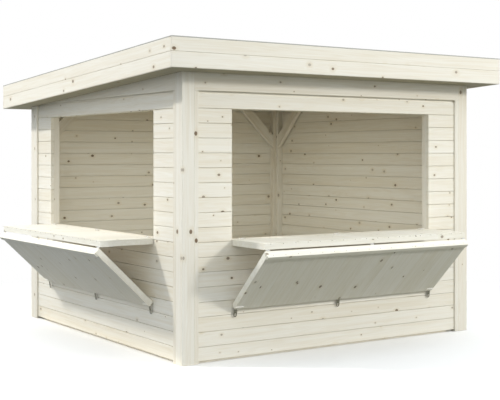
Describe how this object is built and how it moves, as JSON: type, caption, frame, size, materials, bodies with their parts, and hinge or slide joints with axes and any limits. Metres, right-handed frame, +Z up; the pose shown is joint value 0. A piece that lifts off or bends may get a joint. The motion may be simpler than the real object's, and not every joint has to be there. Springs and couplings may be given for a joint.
{
  "type": "wooden market stall",
  "caption": "Timber market stall with boarded walls, a lean-to roof with deep fascias, and fold-down serving flaps on the front and one side.",
  "frame": {"origin": "on the ground, under the middle of the stall's overall box with both flaps open", "axes": "+Z up, +X along the front wall to the right as seen from outside, +Y from the front to the back"},
  "size_m": [3.6347, 3.7607, 2.4586],
  "materials": {
    "frame_wood": "planed softwood, clear",
    "board_wood": "planed softwood boards, clear",
    "rough_wood": "sawn softwood",
    "roof_felt": "mineral roofing felt",
    "edge_trim": "grey folded edge strip",
    "ironwork": "zinc plated"
  },
  "bodies": {
    "stall": {"back_boards_beside": "board_wood", "back_boards_over": "board_wood", "corner_braces": "frame_wood", "corner_posts": "frame_wood", "door_ironwork": "ironwork", "door_leaf": "board_wood", "door_ledges": "board_wood", "front_boards_below": "board_wood", "front_boards_beside": "board_wood", "front_boards_over": "board_wood", "left_boards_below": "board_wood", "left_boards_beside": "board_wood", "left_boards_over": "board_wood", "lower_fascias": "board_wood", "opening_heads": "frame_wood", "opening_sills": "frame_wood", "opening_trimmers": "frame_wood", "rafters": "rough_wood", "right_boards": "board_wood", "roof_deck": "rough_wood", "roof_edge_trim": "edge_trim", "roof_felt": "roof_felt", "sill_hinges": "ironwork", "soffits": "board_wood", "sole_plates": "frame_wood", "stiles": "frame_wood", "top_rails": "frame_wood", "upper_fascias": "board_wood"},
    "front_counter_leaf": {"front_counter": "board_wood", "front_counter_lining": "board_wood", "front_counter_ironwork": "ironwork"},
    "front_prop_leaf": {"front_prop": "board_wood", "front_prop_lining": "board_wood", "front_prop_batten": "board_wood", "front_prop_ironwork": "ironwork"},
    "front_hasp_straps": {"front_hasps": "ironwork"},
    "left_counter_leaf": {"left_counter": "board_wood", "left_counter_lining": "board_wood", "left_counter_ironwork": "ironwork"},
    "left_prop_leaf": {"left_prop": "board_wood", "left_prop_lining": "board_wood", "left_prop_batten": "board_wood", "left_prop_ironwork": "ironwork"},
    "left_hasp_straps": {"left_hasps": "ironwork"}
  },
  "joints": [
    {"name": "front_counter_hinge", "type": "hinge", "parent": "stall", "child": "front_counter_leaf", "pos_m": [0.13816, -1.38135, 0.9376], "axis": [-1, 0, 0], "range_deg": [0, 90]},
    {"name": "front_prop_hinge", "type": "hinge", "parent": "front_counter_leaf", "child": "front_prop_leaf", "pos_m": [0.13816, -1.84135, 0.8794], "axis": [-1, 0, 0], "range_deg": [0, 135.9]},
    {"name": "front_hasp_hinge", "type": "hinge", "parent": "front_prop_leaf", "child": "front_hasp_straps", "pos_m": [0.13816, -1.40463, 0.40106], "axis": [-1, 0, 0], "range_deg": [-114.91, 0]},
    {"name": "left_counter_hinge", "type": "hinge", "parent": "stall", "child": "left_counter_leaf", "pos_m": [-1.31835, 0.14366, 0.9376], "axis": [0, 1, 0], "range_deg": [0, 90]},
    {"name": "left_prop_hinge", "type": "hinge", "parent": "left_counter_leaf", "child": "left_prop_leaf", "pos_m": [-1.77835, 0.14366, 0.8794], "axis": [0, 1, 0], "range_deg": [0, 135.9]},
    {"name": "left_hasp_hinge", "type": "hinge", "parent": "left_prop_leaf", "child": "left_hasp_straps", "pos_m": [-1.34163, 0.14366, 0.40106], "axis": [0, 1, 0], "range_deg": [-114.91, 0]}
  ],
  "couplings": [
    {"joint": "front_hasp_hinge", "follows": "front_prop_hinge", "ratio": -0.84547},
    {"joint": "left_hasp_hinge", "follows": "left_prop_hinge", "ratio": -0.84547}
  ]
}
